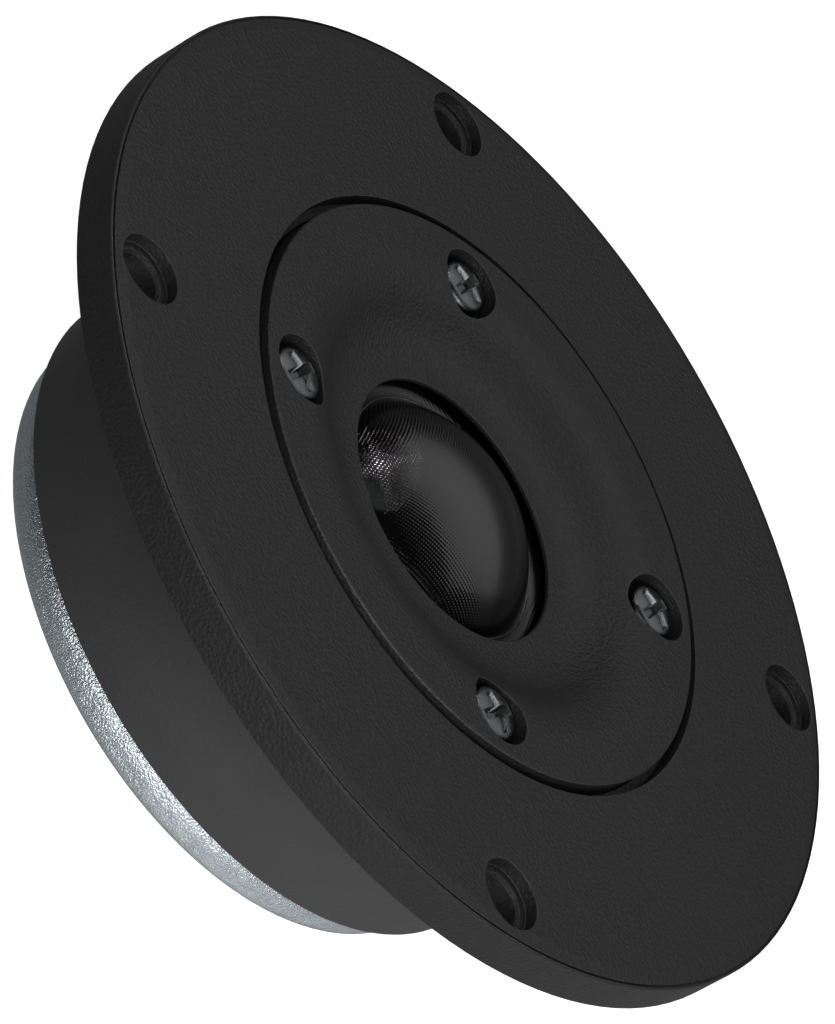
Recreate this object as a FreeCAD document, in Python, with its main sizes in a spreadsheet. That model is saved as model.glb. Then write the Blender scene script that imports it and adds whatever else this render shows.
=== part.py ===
import FreeCAD, Part
import math
import os
import re

import Sketcher

# Dome tweeter on a round mounting flange, in millimetres. It lies on its rear plate: the origin is the
# centre of the rear plate's back face, and +Z is the direction in which the dome fires.

doc = FreeCAD.newDocument("dome_tweeter")
sheet = doc.addObject("Spreadsheet::Sheet", "Sizes")

SIZES = {
    # flange
    "flange_diameter": 104.0,
    "face_height": 32.0,
    "flange_thickness": 4.65,
    "rim_land": 0.16,
    "rim_step_width": 0.33,
    "rim_step_depth": 0.35,
    "rim_bevel_width": 1.2,
    "rim_bevel_drop": 0.24,
    "mounting_pcd": 94.0,
    "mounting_hole_diameter": 5.1,
    "mounting_counterbore_diameter": 7.36,
    "mounting_counterbore_depth": 1.4,
    "mounting_hole_chamfer": 0.3,
    "groove_width": 1.05,
    "groove_depth": 2.0,
    "hub_wall": 2.95,
    "hub_clearance": 0.3,
    "back_recess": 0.3,
    "back_recess_margin": 1.0,
    # waveguide plate
    "waveguide_diameter": 62.1,
    "waveguide_thickness": 4.4,
    "waveguide_rise": 0.4,
    "edge_round": 0.25,
    "seat_clearance": 0.15,
    "shoulder_diameter": 53.0,
    "throat_margin": 1.56,
    "throat_depth": 4.0,
    "throat_lip": 1.1,
    "throat_lip_thickness": 0.5,
    "lip_round": 0.15,
    # front screws
    "front_screw_pcd": 52.25,
    "front_counterbore_diameter": 7.36,
    "front_counterbore_depth": 2.5,
    "front_screw_diameter": 3.0,
    "front_screw_length": 7.5,
    "front_screw_head_diameter": 5.8,
    "front_screw_head_height": 2.3,
    "head_round": 0.55,
    "screw_tip_chamfer": 0.3,
    "screw_hole_clearance": 0.2,
    "recess_width": 1.05,
    "recess_span": 4.3,
    "recess_depth": 1.5,
    # motor
    "cover_diameter": 69.5,
    "cover_wall": 1.2,
    "cover_lip_thickness": 1.0,
    "cover_lip_clearance": 0.25,
    "rear_plate_inset": 1.95,
    "rear_plate_thickness": 5.4,
    "rear_plate_back_round": 1.4,
    "rear_plate_front_round": 3.0,
    "magnet_clearance": 4.25,
    "magnet_bore": 32.0,
    "magnet_chamfer": 0.6,
    "top_plate_thickness": 4.0,
    "pole_spigot_diameter": 16.0,
    "pole_spigot_recess": 0.4,
    "pole_bore": 14.0,
    "pole_bore_floor": 4.0,
    "pole_rise": 0.3,
    "copper_wall": 0.25,
    "copper_skirt": 2.0,
    "felt_diameter": 20.0,
    "felt_thickness": 1.6,
    "chamber_felt_height": 9.0,
    "felt_clearance": 0.2,
    # moving assembly
    "coil_diameter": 25.0,
    "coil_inner_gap": 0.25,
    "former_wall": 0.15,
    "former_tail": 0.3,
    "winding_build": 0.3,
    "winding_length": 2.6,
    "coil_outer_gap": 0.3,
    "dome_rise": 0.5,
    "dome_wall": 0.25,
    "dome_base_width": 0.45,
    # suspension and its clamp
    "diaphragm_drop": 5.8,
    "surround_wall": 0.15,
    "surround_gap": 0.05,
    "roll_width": 2.5,
    "roll_height": 0.45,
    "roll_clearance": 1.05,
    "rim_width": 4.2,
    "rim_clearance": 0.4,
    "gasket_thickness": 0.3,
    "gasket_clearance": 0.7,
    "ring_clearance": 0.3,
    # terminals
    "board_width": 22.0,
    "board_thickness": 1.2,
    "board_overhang": 4.9,
    "board_clearance": 0.3,
    "tab_thickness": 0.5,
    "tab_setback": 1.4,
    "tab_spacing": 11.0,
    "positive_tab_width": 4.8,
    "negative_tab_width": 2.8,
    "tab_drop": 10.0,
    "tab_tip_chamfer": 0.8,
    "tab_hole_diameter": 1.3,
    "tab_hole_setback": 3.6,
    "notch_headroom": 0.9,
    "rivet_diameter": 1.6,
    "rivet_head_diameter": 2.6,
    "rivet_head_height": 0.4,
    "rivet_setback": 3.0,
    "terminal_screw_diameter": 2.2,
    "terminal_screw_depth": 2.2,
    "terminal_screw_head_diameter": 4.0,
    "terminal_screw_head_height": 1.4,
    "terminal_boss_diameter": 5.0,
    "terminal_recess_span": 2.4,
    "lead_diameter": 0.3,
    "lead_standoff": 0.2,
    "lead_offset": 3.2,
    "lead_drift": 0.9,
    "lead_slot_width": 2.6,
    "lead_height": 0.9,
    "lead_slot_depth": 1.3,
    "solder_diameter": 1.6,
    "solder_height": 0.6,
}
for row, (alias, number) in enumerate(SIZES.items(), start=1):
    sheet.set(f"A{row}", alias)
    sheet.set(f"B{row}", str(number))
    sheet.setAlias(f"B{row}", alias)
doc.recompute()


def bind(text):
    """Turn an expression on the sizes' names into one that reads the sheet."""
    return re.sub(r"[a-z_]{4,}", lambda word: sheet_name(word.group()), text)


def sheet_name(word):
    """Functions of the expression language keep their own names."""
    return f"Sizes.{word}" if word in SIZES else word


def value(text):
    """The number an expression on the sizes gives now."""
    return float(sheet.evalExpression(bind(text)))


# Heights along the axis, from the driving sizes
FACE = "face_height"
FLANGE_BACK = "(face_height - flange_thickness)"
RECESS_FLOOR = "(face_height - flange_thickness + back_recess)"
HUB_BACK = "(face_height - flange_thickness - hub_wall)"
PLATE_FACE = "(face_height + waveguide_rise)"
SEAT = "(face_height + waveguide_rise - waveguide_thickness)"
GROOVE_FLOOR = "(face_height - groove_depth)"
TOP_PLATE_BACK = "(face_height - flange_thickness - hub_wall - top_plate_thickness)"
RIM_PLANE = "(face_height - diaphragm_drop)"
RIM_TOP = "(face_height - diaphragm_drop + surround_wall)"
CLAMP_FACE = "(face_height - diaphragm_drop + surround_wall + gasket_thickness)"
BOARD_TOP = "(face_height - flange_thickness - hub_wall + board_thickness)"
TAB_TOP = "(face_height - flange_thickness - hub_wall + board_thickness + tab_thickness)"

# Radii and reaches, from the driving sizes
COVER_BORE = "(cover_diameter / 2 - cover_wall)"
MAGNET_RADIUS = "(cover_diameter / 2 - cover_wall - magnet_clearance)"
COVER_LIP = "(cover_diameter / 2 - cover_wall - magnet_clearance + cover_lip_clearance)"
PLATE_RADIUS = "(cover_diameter / 2 - rear_plate_inset)"
HUB_RADIUS = "(cover_diameter / 2 - cover_wall - hub_clearance)"
POLE_RADIUS = "(coil_diameter / 2 - coil_inner_gap - copper_wall)"
CAP_RADIUS = "(coil_diameter / 2 - coil_inner_gap)"
FORMER_RADIUS = "(coil_diameter / 2 + former_wall)"
WINDING_RADIUS = "(coil_diameter / 2 + former_wall + winding_build)"
GAP_RADIUS = "(coil_diameter / 2 + former_wall + winding_build + coil_outer_gap)"
DOME_RADIUS = "(coil_diameter / 2 + dome_base_width)"
THROAT_RADIUS = "(coil_diameter / 2 + throat_margin)"
ROLL_INNER = f"({DOME_RADIUS} + surround_gap)"
ROLL_OUTER = f"({ROLL_INNER} + roll_width)"
RIM_RADIUS = f"({ROLL_OUTER} + rim_width)"
NOSE_INNER = f"({ROLL_OUTER} + roll_clearance)"
NOSE_RADIUS = f"({RIM_RADIUS} + rim_clearance)"
HUB_BORE = f"({NOSE_RADIUS} + seat_clearance)"
BOARD_START = f"({HUB_BORE} + board_clearance)"
BOARD_END = "(cover_diameter / 2 + board_overhang)"
RIVET_REACH = "(cover_diameter / 2 + board_overhang - rivet_setback)"

# Two circles closer than this, in millimetres, are the same circle
SAME = 0.001
# Degrees
FULL_TURN = 360.0

pieces = {}


def name_piece(feature, label):
    """Register a finished sub-part under the name of its node."""
    feature.Label = label
    feature.Placement = FreeCAD.Placement()
    pieces[label] = feature
    return feature


def origin_plane(body, role):
    """The body's own origin plane with this role, such as XZ_Plane."""
    return next(item for item in body.Origin.OriginFeatures if item.Role == role)


def new_body(label):
    body = doc.addObject("PartDesign::Body", label + "_body")
    return name_piece(body, label)


def attached_sketch(body, name, role, height=None):
    """An empty sketch on one of the body's planes, raised to a height on the sheet."""
    sketch = body.newObject("Sketcher::SketchObject", name)
    sketch.AttachmentSupport = [(origin_plane(body, role), "")]
    sketch.MapMode = "FlatFace"
    if height:
        sketch.setExpression("AttachmentOffset.Base.z", bind(height))
    return sketch


def drive(sketch, constraint, text):
    """Add a dimension to the sketch and tie it to the sheet."""
    index = sketch.addConstraint(constraint)
    name = f"size_{index}"
    sketch.renameConstraint(index, name)
    sketch.setExpression(f"Constraints.{name}", bind(text))


def draw_outline(sketch, corners):
    """Draw a closed outline of lines and arcs.

    Each corner is (across, up), or (across, up, radius, side) where the stretch to the next corner is
    an arc: side is 1 if the arc swells to the left of the way round and -1 if to the right.
    """
    places = [FreeCAD.Vector(value(corner[0]), value(corner[1]), 0) for corner in corners]
    for index, corner in enumerate(corners):
        start = places[index]
        end = places[(index + 1) % len(places)]
        if len(corner) == 4:
            sketch.addGeometry(Part.Arc(start, arc_middle(start, end, corner), end), False)
        else:
            sketch.addGeometry(Part.LineSegment(start, end), False)
    for index, corner in enumerate(corners):
        after = (index + 1) % len(corners)
        first, last = curve_ends(sketch, index, places[index])
        after_first, _ = curve_ends(sketch, after, places[after])
        sketch.addConstraint(Sketcher.Constraint("Coincident", index, last, after, after_first))
        drive(sketch, Sketcher.Constraint("DistanceX", -1, 1, index, first, places[index].x), corner[0])
        drive(sketch, Sketcher.Constraint("DistanceY", -1, 1, index, first, places[index].y), corner[1])
        if len(corner) == 4:
            drive(sketch, Sketcher.Constraint("Radius", index, value(corner[2])), corner[2])


def arc_middle(start, end, corner):
    """The point half way along an arc between two corners."""
    radius = value(corner[2])
    chord = end - start
    rise = radius - math.sqrt(max(radius * radius - chord.Length * chord.Length / 4, 0))
    left = FreeCAD.Vector(-chord.y, chord.x, 0).normalize()
    return (start + end) * 0.5 + left * rise * corner[3]


def curve_ends(sketch, index, start):
    """The sketch's numbers for a curve's first and last point, in the outline's direction."""
    one, two = sketch.getPoint(index, 1), sketch.getPoint(index, 2)
    if one.distanceToPoint(start) < two.distanceToPoint(start):
        return 1, 2
    return 2, 1


def add_turned(body, name, corners):
    """Revolve an outline of (radius, height) corners about the body's Z axis."""
    sketch = attached_sketch(body, name + "_outline", "XZ_Plane")
    draw_outline(sketch, corners)
    turned = body.newObject("PartDesign::Revolution", name)
    turned.Profile = sketch
    turned.ReferenceAxis = (sketch, ["V_Axis"])
    turned.Angle = FULL_TURN


def turned_piece(label, corners):
    body = new_body(label)
    add_turned(body, label + "_turned", corners)
    return body


def add_circle(sketch, radius, across="0", up="0"):
    """Draw a circle tied to the sheet; a centre at zero sits on the sketch's axis."""
    centre = FreeCAD.Vector(value(across), value(up), 0)
    index = sketch.addGeometry(Part.Circle(centre, FreeCAD.Vector(0, 0, 1), value(radius)), False)
    drive(sketch, Sketcher.Constraint("Radius", index, value(radius)), radius)
    for kind, text, axis in (("DistanceX", across, -2), ("DistanceY", up, -1)):
        if text == "0":
            sketch.addConstraint(Sketcher.Constraint("PointOnObject", index, 3, axis))
        else:
            drive(sketch, Sketcher.Constraint(kind, -1, 1, index, 3, value(text)), text)


def cut_down(body, name, sketch, length):
    """Pocket a sketch towards -Z by a length on the sheet, and see that it cuts."""
    before = body.Shape.Volume
    pocket = body.newObject("PartDesign::Pocket", name)
    pocket.Profile = sketch
    pocket.Type = "Length"
    pocket.setExpression("Length", bind(length))
    doc.recompute()
    if not body.Shape.Volume < before:
        raise RuntimeError(name + " cuts nothing")
    return pocket


def ring_of(body, name, feature, count=4):
    """Repeat a feature evenly about the body's Z axis."""
    axis = next(item for item in body.Origin.OriginFeatures if item.Role == "Z_Axis")
    pattern = body.newObject("PartDesign::PolarPattern", name)
    pattern.Originals = [feature]
    pattern.Axis = (axis, [""])
    pattern.Angle = FULL_TURN
    pattern.Occurrences = count
    body.Tip = pattern
    doc.recompute()


def diagonal(diameter):
    """Across or up to a hole that stands on the 45 degree line of a circle."""
    return f"({diameter} / 2 * sqrt(0.5))"


def cut_ring_of_holes(body, name, pcd, radius, top, depth):
    """Four round holes on the 45 degree lines, from a height down by a depth."""
    sketch = attached_sketch(body, name + "_circle", "XY_Plane", top)
    add_circle(sketch, radius, diagonal(pcd), diagonal(pcd))
    doc.recompute()
    hole = cut_down(body, name, sketch, depth)
    ring_of(body, name + "_ring", hole)


def draw_box(sketch, left, low, right, high):
    draw_outline(sketch, [(left, low), (right, low), (right, high), (left, high)])


def cut_box(body, name, left, near, right, far, top, depth):
    """A rectangular pocket from a height down by a depth."""
    sketch = attached_sketch(body, name + "_outline", "XY_Plane", top)
    draw_box(sketch, left, near, right, far)
    doc.recompute()
    cut_down(body, name, sketch, depth)


def add_pad(body, name, sketch, length):
    pad = body.newObject("PartDesign::Pad", name)
    pad.Profile = sketch
    pad.setExpression("Length", bind(length))
    doc.recompute()


def circle_edges(shape, radius, height):
    """Names of the circular edges with this radius whose centres lie at this height."""
    found = []
    for number, edge in enumerate(shape.Edges, start=1):
        curve = edge.Curve
        if isinstance(curve, Part.Circle) and abs(curve.Radius - radius) < SAME:
            if abs(curve.Center.z - height) < SAME:
                found.append(f"Edge{number}")
    return found


def dress_edges(body, kind, name, radius, height, amount):
    """Fillet or chamfer the circular edges at a radius and height on the sheet."""
    doc.recompute()
    base = body.Tip
    edges = circle_edges(base.Shape, value(radius), value(height))
    dressed = body.newObject(kind, name)
    dressed.Base = (base, edges)
    dressed.setExpression("Size" if kind.endswith("Chamfer") else "Radius", bind(amount))
    doc.recompute()


# Mounting flange: outer ring, seat for the waveguide plate and the hub that stands on the top plate
RIM_EDGE = "(flange_diameter / 2 - rim_land)"
RIM_EDGE_TOP = "(face_height - rim_bevel_drop)"
flange = turned_piece(
    "mounting_flange",
    [
        (HUB_BORE, HUB_BACK),
        (HUB_RADIUS, HUB_BACK),
        (HUB_RADIUS, RECESS_FLOOR),
        ("cover_diameter / 2 + back_recess_margin", RECESS_FLOOR),
        ("cover_diameter / 2 + back_recess_margin", FLANGE_BACK),
        ("flange_diameter / 2", FLANGE_BACK),
        ("flange_diameter / 2", f"{RIM_EDGE_TOP} - rim_land"),
        (RIM_EDGE, RIM_EDGE_TOP),
        (RIM_EDGE, f"{RIM_EDGE_TOP} - rim_step_depth"),
        (f"{RIM_EDGE} - rim_step_width", f"{RIM_EDGE_TOP} - rim_step_depth"),
        (f"{RIM_EDGE} - rim_step_width", RIM_EDGE_TOP),
        (f"{RIM_EDGE} - rim_step_width - rim_bevel_width", FACE),
        ("waveguide_diameter / 2 + groove_width", FACE),
        ("waveguide_diameter / 2 + groove_width", GROOVE_FLOOR),
        ("waveguide_diameter / 2 + seat_clearance", GROOVE_FLOOR),
        ("waveguide_diameter / 2 + seat_clearance", SEAT),
        (HUB_BORE, SEAT),
    ],
)
doc.recompute()
cut_ring_of_holes(
    flange, "mounting_hole", "mounting_pcd", "mounting_hole_diameter / 2", FACE, "flange_thickness"
)
cut_ring_of_holes(
    flange,
    "mounting_counterbore",
    "mounting_pcd",
    "mounting_counterbore_diameter / 2",
    FACE,
    "mounting_counterbore_depth",
)
dress_edges(
    flange,
    "PartDesign::Chamfer",
    "mounting_hole_lead_in",
    "mounting_hole_diameter / 2",
    "face_height - mounting_counterbore_depth",
    "mounting_hole_chamfer",
)
SCREW_HOLE = "(front_screw_diameter / 2 + screw_hole_clearance)"
cut_ring_of_holes(flange, "front_screw_hole", "front_screw_pcd", SCREW_HOLE, SEAT, f"{SEAT} - {HUB_BACK}")
BOARD_HALF = "(board_width / 2)"
NOTCH_TOP = f"({TAB_TOP} + notch_headroom)"
cut_box(
    flange,
    "terminal_notch",
    f"-{BOARD_HALF} - board_clearance",
    f"{NOSE_RADIUS} / 2",
    f"{BOARD_HALF} + board_clearance",
    "cover_diameter / 2",
    f"min({NOTCH_TOP}; {FLANGE_BACK})",
    f"min({NOTCH_TOP}; {FLANGE_BACK}) - {HUB_BACK}",
)
cut_box(
    flange,
    "terminal_relief",
    f"-{BOARD_HALF} - back_recess_margin",
    HUB_RADIUS,
    f"{BOARD_HALF} + back_recess_margin",
    f"{BOARD_END} + tab_thickness + back_recess_margin",
    RECESS_FLOOR,
    "back_recess",
)
BOSS_REACH = "(cover_diameter / 2 + board_overhang / 2)"
screw_pilot = attached_sketch(
    flange, "terminal_screw_pilot_circle", "XY_Plane", f"{RECESS_FLOOR} + terminal_screw_depth"
)
add_circle(screw_pilot, "terminal_screw_diameter / 2", "0", BOSS_REACH)
doc.recompute()
cut_down(flange, "terminal_screw_pilot", screw_pilot, "terminal_screw_depth")

# Waveguide plate: flat rim, S-shaped slope into the throat and a nose that clamps the diaphragm
SHOULDER = "(shoulder_diameter / 2)"
LIP = f"({THROAT_RADIUS} + throat_lip)"
SLOPE_MIDDLE = f"(({SHOULDER} + {LIP}) / 2)"
HALF_RUN = f"(({SHOULDER} - {LIP}) / 2)"
HALF_DROP = "(throat_depth / 2)"
SLOPE_RADIUS = f"(({HALF_RUN} * {HALF_RUN} + {HALF_DROP} * {HALF_DROP}) / (2 * {HALF_DROP}))"
LIP_TOP = f"({PLATE_FACE} - throat_depth)"
LIP_BACK = f"({PLATE_FACE} - throat_depth - throat_lip_thickness)"
waveguide = turned_piece(
    "waveguide_plate",
    [
        (THROAT_RADIUS, LIP_BACK),
        (NOSE_INNER, LIP_BACK),
        (NOSE_INNER, CLAMP_FACE),
        (NOSE_RADIUS, CLAMP_FACE),
        (NOSE_RADIUS, SEAT),
        ("waveguide_diameter / 2", SEAT),
        ("waveguide_diameter / 2", PLATE_FACE),
        (SHOULDER, PLATE_FACE, SLOPE_RADIUS, -1),
        (SLOPE_MIDDLE, f"{PLATE_FACE} - {HALF_DROP}", SLOPE_RADIUS, 1),
        (LIP, LIP_TOP),
        (THROAT_RADIUS, LIP_TOP),
    ],
)
dress_edges(
    waveguide, "PartDesign::Fillet", "rim_round", "waveguide_diameter / 2", PLATE_FACE, "edge_round"
)
dress_edges(waveguide, "PartDesign::Fillet", "throat_round", THROAT_RADIUS, LIP_TOP, "lip_round")
cut_ring_of_holes(
    waveguide, "front_screw_hole_above", "front_screw_pcd", SCREW_HOLE, PLATE_FACE, "waveguide_thickness"
)
cut_ring_of_holes(
    waveguide,
    "front_counterbore",
    "front_screw_pcd",
    "front_counterbore_diameter / 2",
    PLATE_FACE,
    "front_counterbore_depth",
)


def copies(label, source, places):
    """One node of separate solids: a finished shape repeated at each place."""
    group = doc.addObject("Part::Feature", label + "_group")
    solids = []
    for place in places:
        solid = source.Shape.copy()
        solid.translate(place)
        solids.append(solid)
    group.Shape = Part.makeCompound(solids)
    return name_piece(group, label)


def on_diagonals(diameter):
    """The four 45 degree points of a circle about the axis."""
    reach = value(diagonal(diameter))
    return [FreeCAD.Vector(reach * across, reach * up, 0) for across in (1, -1) for up in (1, -1)]


def cross_recess(body, name, top):
    """Two crossed slots sunk into a screw's head from a height."""
    for way, across, up in (
        ("along", "recess_span", "recess_width"),
        ("aside", "recess_width", "recess_span"),
    ):
        half_across, half_up = f"{across} / 2", f"{up} / 2"
        cut_box(
            body, f"{name}_{way}", f"-{half_across}", f"-{half_up}", half_across, half_up, top, "recess_depth"
        )


# Front screws: pan heads with a cross recess, through both plates into the top plate
HEAD_SEAT = f"({PLATE_FACE} - front_counterbore_depth)"
HEAD_TOP = f"({HEAD_SEAT} + front_screw_head_height)"
SCREW_TIP = f"({HEAD_SEAT} - front_screw_length)"
screw = doc.addObject("PartDesign::Body", "front_screw_body")
add_turned(
    screw,
    "front_screw_turned",
    [
        ("0", SCREW_TIP),
        ("front_screw_diameter / 2 - screw_tip_chamfer", SCREW_TIP),
        ("front_screw_diameter / 2", f"{SCREW_TIP} + screw_tip_chamfer"),
        ("front_screw_diameter / 2", HEAD_SEAT),
        ("front_screw_head_diameter / 2", HEAD_SEAT),
        ("front_screw_head_diameter / 2", f"{HEAD_TOP} - head_round", "head_round", -1),
        ("front_screw_head_diameter / 2 - head_round", HEAD_TOP),
        ("0", HEAD_TOP),
    ],
)
doc.recompute()
cross_recess(screw, "front_screw_recess", HEAD_TOP)
copies("front_screws", screw, on_diagonals("front_screw_pcd"))

# Magnetic circuit: rear plate, ring magnet, top plate and the pole that is staked into the rear plate
turned_piece(
    "rear_plate",
    [
        ("pole_spigot_diameter / 2", "0"),
        (f"{PLATE_RADIUS} - rear_plate_back_round", "0", "rear_plate_back_round", -1),
        (PLATE_RADIUS, "rear_plate_back_round"),
        (
            PLATE_RADIUS,
            "rear_plate_thickness - rear_plate_front_round",
            "rear_plate_front_round",
            -1,
        ),
        (f"{PLATE_RADIUS} - rear_plate_front_round", "rear_plate_thickness"),
        ("pole_spigot_diameter / 2", "rear_plate_thickness"),
    ],
)
turned_piece(
    "ferrite_magnet",
    [
        ("magnet_bore / 2", "rear_plate_thickness"),
        (f"{MAGNET_RADIUS} - magnet_chamfer", "rear_plate_thickness"),
        (MAGNET_RADIUS, "rear_plate_thickness + magnet_chamfer"),
        (MAGNET_RADIUS, f"{TOP_PLATE_BACK} - magnet_chamfer"),
        (f"{MAGNET_RADIUS} - magnet_chamfer", TOP_PLATE_BACK),
        ("magnet_bore / 2", TOP_PLATE_BACK),
    ],
)
top_plate = turned_piece(
    "top_plate",
    [
        (GAP_RADIUS, TOP_PLATE_BACK),
        (MAGNET_RADIUS, TOP_PLATE_BACK),
        (MAGNET_RADIUS, HUB_BACK),
        (GAP_RADIUS, HUB_BACK),
    ],
)
doc.recompute()
cut_ring_of_holes(
    top_plate,
    "front_screw_thread",
    "front_screw_pcd",
    "front_screw_diameter / 2",
    HUB_BACK,
    "top_plate_thickness",
)
POLE_TOP = f"({HUB_BACK} + pole_rise)"
CAP_TOP = f"({HUB_BACK} + pole_rise + copper_wall)"
BORE_FLOOR = "(rear_plate_thickness + pole_bore_floor)"
turned_piece(
    "pole_piece",
    [
        ("0", "pole_spigot_recess"),
        ("pole_spigot_diameter / 2", "pole_spigot_recess"),
        ("pole_spigot_diameter / 2", "rear_plate_thickness"),
        (POLE_RADIUS, "rear_plate_thickness"),
        (POLE_RADIUS, POLE_TOP),
        ("pole_bore / 2", POLE_TOP),
        ("pole_bore / 2", BORE_FLOOR),
        ("0", BORE_FLOOR),
    ],
)
CAP_SKIRT = f"({TOP_PLATE_BACK} - copper_skirt)"
turned_piece(
    "copper_cap",
    [
        (POLE_RADIUS, CAP_SKIRT),
        (CAP_RADIUS, CAP_SKIRT),
        (CAP_RADIUS, CAP_TOP),
        ("pole_bore / 2", CAP_TOP),
        ("pole_bore / 2", POLE_TOP),
        (POLE_RADIUS, POLE_TOP),
    ],
)


def disc_piece(label, radius, low, high):
    return turned_piece(label, [("0", low), (radius, low), (radius, high), ("0", high)])


def ring_piece(label, inner, outer, low, high):
    return turned_piece(label, [(inner, low), (outer, low), (outer, high), (inner, high)])


disc_piece("damping_felt", "felt_diameter / 2", CAP_TOP, f"{CAP_TOP} + felt_thickness")
disc_piece(
    "chamber_felt", "pole_bore / 2 - felt_clearance", BORE_FLOOR, f"{BORE_FLOOR} + chamber_felt_height"
)

# Sleeve round the magnet, with a lip that sits on the rear plate and a window for the terminal board
LIP_STEP = "(rear_plate_thickness + cover_lip_thickness)"
cover = turned_piece(
    "magnet_cover",
    [
        (COVER_LIP, "rear_plate_thickness"),
        ("cover_diameter / 2", "rear_plate_thickness"),
        ("cover_diameter / 2", RECESS_FLOOR),
        (COVER_BORE, RECESS_FLOOR),
        (COVER_BORE, LIP_STEP),
        (COVER_LIP, LIP_STEP),
    ],
)
doc.recompute()
cut_box(
    cover,
    "terminal_window",
    f"-{BOARD_HALF} - board_clearance",
    NOSE_RADIUS,
    f"{BOARD_HALF} + board_clearance",
    "cover_diameter / 2 + board_clearance",
    RECESS_FLOOR,
    "hub_wall + back_recess + board_clearance",
)

# Moving assembly: voice coil on its former, under the dome
COIL_MIDDLE = f"({HUB_BACK} - top_plate_thickness / 2)"
COIL_BACK = f"({COIL_MIDDLE} - winding_length / 2)"
ring_piece("voice_coil_former", "coil_diameter / 2", FORMER_RADIUS, f"{COIL_BACK} - former_tail", RIM_PLANE)
ring_piece(
    "voice_coil_winding", FORMER_RADIUS, WINDING_RADIUS, COIL_BACK, f"{COIL_BACK} + winding_length"
)
DOME_TOP = "(face_height + dome_rise)"
DOME_RISE = f"({DOME_TOP} - {RIM_TOP})"
DOME_CURVE = f"(({DOME_RADIUS} * {DOME_RADIUS} + {DOME_RISE} * {DOME_RISE}) / (2 * {DOME_RISE}))"
INNER_RISE = f"({DOME_RISE} - dome_wall)"
INNER_CURVE = f"((coil_diameter * coil_diameter / 4 + {INNER_RISE} * {INNER_RISE}) / (2 * {INNER_RISE}))"
turned_piece(
    "dome",
    [
        ("coil_diameter / 2", RIM_PLANE),
        (DOME_RADIUS, RIM_PLANE),
        (DOME_RADIUS, RIM_TOP, DOME_CURVE, -1),
        ("0", DOME_TOP),
        ("0", f"{DOME_TOP} - dome_wall", INNER_CURVE, 1),
        ("coil_diameter / 2", RIM_TOP),
    ],
)

# Suspension: half-roll with a flat rim, on its carrier ring and under a foam gasket
ROLL_CURVE = "((roll_width * roll_width / 4 + roll_height * roll_height) / (2 * roll_height))"
turned_piece(
    "surround",
    [
        (ROLL_INNER, RIM_PLANE, ROLL_CURVE, 1),
        (ROLL_OUTER, RIM_PLANE),
        (RIM_RADIUS, RIM_PLANE),
        (RIM_RADIUS, RIM_TOP),
        (ROLL_OUTER, RIM_TOP, ROLL_CURVE, -1),
        (ROLL_INNER, RIM_TOP),
    ],
)
ring_piece("clamp_gasket", f"{NOSE_INNER} + gasket_clearance", RIM_RADIUS, RIM_TOP, CLAMP_FACE)
RING_INNER = f"({ROLL_OUTER} + gasket_clearance)"
RING_OUTER = f"({HUB_BORE} - ring_clearance)"
carrier = ring_piece("diaphragm_ring", RING_INNER, RING_OUTER, HUB_BACK, RIM_PLANE)
doc.recompute()
for side, name in (("1", "positive"), ("-1", "negative")):
    near_edge = f"{side} * lead_offset - lead_slot_width / 2 + {side} * lead_drift / 2"
    far_edge = f"{side} * lead_offset + lead_slot_width / 2 + {side} * lead_drift / 2"
    cut_box(
        carrier,
        f"{name}_lead_slot",
        near_edge,
        f"{RING_INNER} - lead_slot_width",
        far_edge,
        f"{RING_OUTER} + board_clearance",
        RIM_PLANE,
        "lead_slot_depth",
    )

# Terminal board: a tongue out of the window, screwed up against the flange's back
board = new_body("terminal_board")
board_outline = attached_sketch(board, "board_outline", "XY_Plane", HUB_BACK)
draw_box(board_outline, f"-{BOARD_HALF}", BOARD_START, BOARD_HALF, BOARD_END)
add_pad(board, "board_tongue", board_outline, "board_thickness")
boss_outline = attached_sketch(board, "boss_outline", "XY_Plane", BOARD_TOP)
add_circle(boss_outline, "terminal_boss_diameter / 2", "0", BOSS_REACH)
add_pad(board, "board_boss", boss_outline, f"{RECESS_FLOOR} - {BOARD_TOP}")
bolt_hole = attached_sketch(board, "bolt_hole_circle", "XY_Plane", RECESS_FLOOR)
add_circle(bolt_hole, "terminal_screw_diameter / 2 + screw_hole_clearance", "0", BOSS_REACH)
doc.recompute()
cut_down(board, "bolt_hole", bolt_hole, "hub_wall + back_recess")
rivet_holes = attached_sketch(board, "rivet_hole_circles", "XY_Plane", BOARD_TOP)
for side in ("1", "-1"):
    add_circle(rivet_holes, "rivet_diameter / 2", f"{side} * tab_spacing / 2", RIVET_REACH)
doc.recompute()
cut_down(board, "rivet_holes", rivet_holes, "board_thickness")


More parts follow.
